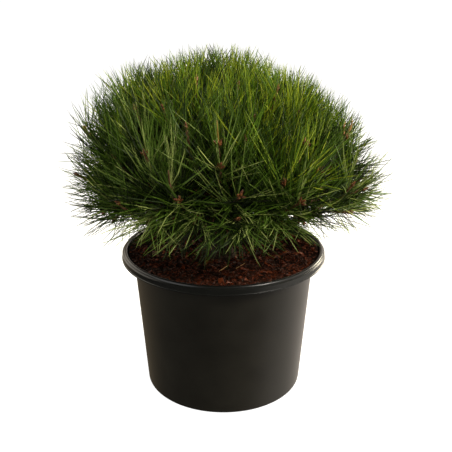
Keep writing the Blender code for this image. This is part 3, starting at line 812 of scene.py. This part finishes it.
def make_pot():
    mesh = bpy.data.meshes.new("pot_moulding")
    profile = pot_profile()
    edges = [(i, i + 1) for i in range(len(profile) - 1)]
    mesh.from_pydata([(r, 0.0, z) for r, z in profile], edges, [])
    pot = bpy.data.objects.new("pot_moulding", mesh)
    bpy.context.scene.collection.objects.link(pot)
    screw = pot.modifiers.new("turn", "SCREW")
    screw.steps = POT_STEPS
    screw.render_steps = POT_STEPS
    screw.use_merge_vertices = True
    screw.merge_threshold = 0.00001
    screw.use_smooth_shade = True
    cutter = drain_cutter()
    holes = pot.modifiers.new("drain", "BOOLEAN")
    holes.object = cutter
    solid = bpy.data.meshes.new_from_object(pot.evaluated_get(bpy.context.evaluated_depsgraph_get()))
    bpy.data.objects.remove(pot, do_unlink=True)
    bpy.data.objects.remove(cutter, do_unlink=True)
    pot = bpy.data.objects.new("pot_moulding", solid)
    bpy.context.scene.collection.objects.link(pot)
    solid.shade_smooth()
    solid.set_sharp_from_angle(angle=math.radians(40))
    solid.materials.append(moulded_polypropylene())
    finish(pot, "pot", "pot")


# Substrate
BED_RINGS = 48
BED_SIDES = 160
BED_LIFT = 1.0 * MM
BED_UNDER = ((0.1322, 0.1957), (0.1270, 0.1913), (0.1230, 0.1870), (0.1230, SOIL_TOP - 3.0 * MM))
LUMPS = ((26.0, 3.0), (9.0, 2.6), (4.0, 1.1))
BANK_START = 0.070
BANK_END = 0.1328
BANK_HEIGHT = 0.0135
BANK_POWER = 1.5
CHIP_TINTS = (("bark_chip_fresh", "551f0a", "7e3f20", 0.50), ("bark_chip_red", "351506", "5b2911", 0.55),
              ("bark_chip_dark", "1f0e05", "371909", 0.60), ("bark_chip_peat", "120903", "231206", 0.90))
Litter = namedtuple("Litter", "name total length slender thick curl shares")
LITTER = (
    Litter("bark_fibres", 2600, 7.0, (0.06, 0.13), (0.35, 0.60), 0.10, (0.10, 0.30, 0.40, 0.20)),
    Litter("bark_fines", 4200, 3.2, (0.35, 0.80), (0.60, 1.30), 0.02, (0.10, 0.28, 0.34, 0.28)),
    Litter("bark_chips", 900, 7.0, (0.30, 0.60), (0.80, 1.60), 0.07, (0.24, 0.38, 0.28, 0.10)),
)
FALLEN = (((-0.006, -0.061), (0.010, -0.037)), ((0.017, -0.048), (0.030, -0.034)),
          ((-0.071, 0.052), (-0.090, 0.031)), ((0.062, 0.070), (0.081, 0.049)), ((0.004, 0.093), (-0.017, 0.104)))


def lump(x, y):
    """Height of the uneven surface over the flat filling, banked up to the rim."""
    share = max(0.0, math.hypot(x, y) - BANK_START) / (BANK_END - BANK_START)
    uneven = sum(high * MM * noise.noise(Vector((x, y, 0.0)) / (size * MM)) for size, high in LUMPS)
    return BANK_HEIGHT * share ** BANK_POWER + uneven * (1.0 - 0.6 * share)


def make_bed():
    """The uneven top of the filling, a closed cushion on the flat solid, over the pot's shoulder to the rim."""
    turns = np.arange(BED_SIDES) * math.tau / BED_SIDES
    points = [(0.0, 0.0, SOIL_TOP + BED_LIFT + lump(0.0, 0.0))]
    for i in range(1, BED_RINGS + 1):
        radius = BANK_END * i / BED_RINGS
        for turn in turns:
            x, y = radius * math.cos(turn), radius * math.sin(turn)
            points.append((x, y, SOIL_TOP + BED_LIFT + lump(x, y)))
    for radius, z in BED_UNDER:
        points += [(radius * math.cos(turn), radius * math.sin(turn), z) for turn in turns]
    foot = len(points) - BED_SIDES
    points.append((0.0, 0.0, SOIL_TOP - 3.0 * MM))
    here = np.arange(BED_SIDES)
    after = (here + 1) % BED_SIDES
    faces = [np.stack([np.zeros_like(here), 1 + here, 1 + after], axis=1)]
    for i in range(BED_RINGS + len(BED_UNDER) - 1):
        ring = 1 + i * BED_SIDES
        below = ring + BED_SIDES
        faces.append(np.stack([ring + here, below + here, below + after], axis=1))
        faces.append(np.stack([ring + here, below + after, ring + after], axis=1))
    faces.append(np.stack([np.full_like(here, len(points) - 1), foot + after, foot + here], axis=1))
    return mesh_from("peat_bed", np.array(points), np.concatenate(faces), smooth=True)


def torn_strips(rng, litter):
    """Bent flat strips thrown on the bed, as corner points: three sections of four corners each."""
    total = litter.total
    long = litter.length * MM * rng.lognormal(0.0, 0.34, total)
    wide = long * rng.uniform(*litter.slender, total)
    thick = rng.uniform(*litter.thick, total) * MM
    radius = (BANK_END - long / 2) * np.sqrt(rng.uniform(0.0, 1.0, total))
    around = rng.uniform(0.0, math.tau, total)
    x, y = radius * np.cos(around), radius * np.sin(around)
    lumps = np.array([lump(a, b) for a, b in zip(x, y)])
    middle = np.stack([x, y, SOIL_TOP + BED_LIFT + lumps + rng.uniform(-0.3, 1.4, total) * MM], axis=1)
    yaw = rng.uniform(0.0, math.tau, total)
    pitch, roll = rng.normal(0.0, 0.35, total), rng.normal(0.0, 0.5, total)
    onward = np.stack([np.cos(yaw) * np.cos(pitch), np.sin(yaw) * np.cos(pitch), np.sin(pitch)], axis=1)
    side = np.stack([-np.sin(yaw), np.cos(yaw), np.zeros(total)], axis=1)
    up = np.cross(onward, side)
    side, up = spin(side, up, roll), spin(up, -side, roll)
    curl = litter.curl * long * rng.normal(0.0, 1.0, total)
    corners = []
    for place, low, high in ((-0.5, 0.35, 0.9), (0.0, 0.85, 1.0), (0.5, 0.2, 0.8)):
        size = rng.uniform(low, high, total)
        lift = curl * (1.0 - 4.0 * place * place)
        for across, rise in ((-0.5, -0.5), (0.5, -0.5), (0.5, 0.5), (-0.5, 0.5)):
            jitter = rng.normal(0.0, 0.10, total)
            corners.append(middle + onward * (long * (place + jitter * 0.4))[:, None]
                           + side * (wide * size * across * (1.0 + jitter))[:, None]
                           + up * (thick * (rise + jitter) + lift)[:, None])
    return np.stack(corners, axis=1)


def make_substrate(rng):
    """The uneven bed with its fibres, fines and chips, and a few fallen needles."""
    tints = [bark_chip(*row) for row in CHIP_TINTS]
    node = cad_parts["substrate"]
    node.data.materials.clear()
    node.data.materials.append(tints[3])
    bed = make_bed()
    bed.data.materials.append(tints[3])
    finish(bed, "substrate")
    sides = [(4 * part + c, 4 * part + (c + 1) % 4, 4 * part + 4 + (c + 1) % 4, 4 * part + 4 + c)
             for part in range(2) for c in range(4)]
    pattern = np.array([(3, 2, 1, 0), *sides, (8, 9, 10, 11)])
    for litter in LITTER:
        points = torn_strips(rng, litter)
        faces = pattern[None, :, :] + np.arange(litter.total)[:, None, None] * points.shape[1]
        picks = np.repeat(rng.choice(len(CHIP_TINTS), litter.total, p=litter.shares), len(pattern))
        finish(mesh_from(litter.name, points.reshape(-1, 3), faces.reshape(-1, 4), picks, tints), "substrate")
    make_fallen(rng)


def make_fallen(rng):
    """Dry needles that lie on the substrate."""
    ends = np.array([[(x, y, SOIL_TOP + lump(x, y) + 4.0 * MM) for x, y in pair] for pair in FALLEN])
    spans = ends[:, 1] - ends[:, 0]
    lengths = np.linalg.norm(spans, axis=1)
    count = len(ends)
    points, faces, _ = needle_mesh(ends[:, 0], unit(spans), rng.normal(0.0, 0.05, (count, 3)), lengths,
                                   np.full(count, 1.1 * MM), np.zeros(count))
    straw = waxy_needle("needle_straw", "b58e5c")
    finish(mesh_from("fallen_needles", points, faces, None, [straw]), "needles")


# Stage: pale floor, soft light and the photograph's view
CAMERA_PLACE = Vector((0.003472, -0.91993, 0.56418))
CAMERA_PITCH = 19.94
FOCAL_PIXELS = 700.0
FRAME_PIXELS = 452.0
SENSOR = 36.0
FLOOR_GAP = 0.2 * MM
STAGE_REACH = 20.0


def area_light(name, place, target, size, power, tint):
    data = bpy.data.lights.new(name, "AREA")
    data.shape = "DISK"
    data.size = size
    data.energy = power
    data.color = colour(tint)[:3]
    lamp = bpy.data.objects.new(name, data)
    lamp.location = place
    lamp.rotation_euler = (Vector(target) - Vector(place)).to_track_quat("-Z", "Y").to_euler()
    bpy.context.scene.collection.objects.link(lamp)


def make_stage():
    paper, _, shader, _ = material("white_paper", Roughness=0.9)
    shader.inputs["Base Color"].default_value = colour("8a8a8a")
    shader.inputs["Emission Color"].default_value = (1.0, 1.0, 1.0, 1.0)
    shader.inputs["Emission Strength"].default_value = 1.0
    for name in ("floor", "backdrop"):
        mesh = bpy.data.meshes.new(name)
        made = bmesh.new()
        if name == "floor":
            bmesh.ops.create_grid(made, x_segments=1, y_segments=1, size=STAGE_REACH)
        else:
            bmesh.ops.create_icosphere(made, subdivisions=4, radius=STAGE_REACH)
        made.to_mesh(mesh)
        made.free()
        mesh.materials.append(paper)
        sheet = bpy.data.objects.new(name, mesh)
        bpy.context.scene.collection.objects.link(sheet)
        sheet.location.z = -FLOOR_GAP
        sheet.visible_diffuse = False
        sheet.visible_glossy = False
        sheet.visible_shadow = name == "floor"
    scene = bpy.context.scene
    scene.world = bpy.data.worlds.new("soft_box")
    scene.world.use_nodes = True
    tree = scene.world.node_tree
    sides = add(tree, "ShaderNodeSeparateXYZ", {"Vector": add(tree, "ShaderNodeTexCoord").outputs["Generated"]})
    across = add(tree, "ShaderNodeMapRange", {"Value": sides.outputs["X"], "From Min": -1.0}).outputs["Result"]
    behind = add(tree, "ShaderNodeMapRange", {"Value": sides.outputs["Y"], "From Min": 0.25,
                                              "From Max": 0.80}).outputs["Result"]
    front = ramp(tree, across, (0.0, "3f3c36"), (0.50, "484642"), (0.74, "5e5a55"), (0.92, "dcd5cb"))
    back = ramp(tree, across, (0.0, "6b5c48"), (0.40, "827560"), (0.58, "fff2e4"), (0.72, "fff2e4"), (1.0, "b4b0aa"))
    mixed = add(tree, "ShaderNodeMix", {"Factor": behind, "A": front, "B": back}, data_type="RGBA")
    tree.links.new(result(mixed), tree.nodes["Background"].inputs["Color"])
    tree.nodes["Background"].inputs["Strength"].default_value = 1.15
    scene.view_settings.view_transform = "Standard"
    area_light("key", (0.95, -0.85, 1.15), (0.0, 0.0, 0.25), 0.45, 19.0, "fff8ee")
    area_light("fill", (-1.25, -0.9, 0.65), (0.0, 0.0, 0.26), 1.60, 8.5, "ffffff")
    area_light("left_behind", (-1.25, 0.70, 0.90), (0.0, 0.0, 0.26), 2.00, 15.0, "fff6e6")
    area_light("overhead", (0.50, 0.50, 1.4), (0.0, 0.0, 0.25), 0.45, 40.0, "fff2cc")
    area_light("side", (1.15, 0.75, 0.50), (0.0, 0.0, 0.22), 0.50, 14.0, "fff4d8")


def make_camera():
    data = bpy.data.cameras.new("camera")
    data.sensor_width = SENSOR
    data.lens = FOCAL_PIXELS / FRAME_PIXELS * SENSOR
    data.clip_start = 0.01
    camera = bpy.data.objects.new("camera", data)
    camera.location = CAMERA_PLACE
    camera.rotation_euler = (math.radians(90.0 - CAMERA_PITCH), 0.0, 0.0)
    bpy.context.scene.collection.objects.link(camera)
    bpy.context.scene.camera = camera


def main():
    rng = np.random.default_rng(SEED)
    dice = random.Random(SEED)
    make_camera()
    make_stage()
    make_pot()
    make_substrate(rng)
    stems = make_limbs()
    outer = crown_shoots(dice, SHOOTS, SHOOT_REACH, False)
    inner = crown_shoots(dice, INNER_SHOOTS, INNER_REACH, True)
    make_twigs(outer + inner, stems)
    make_buds(outer, dice)
    make_finds(outer)
    make_needles(outer + inner, rng)


main()
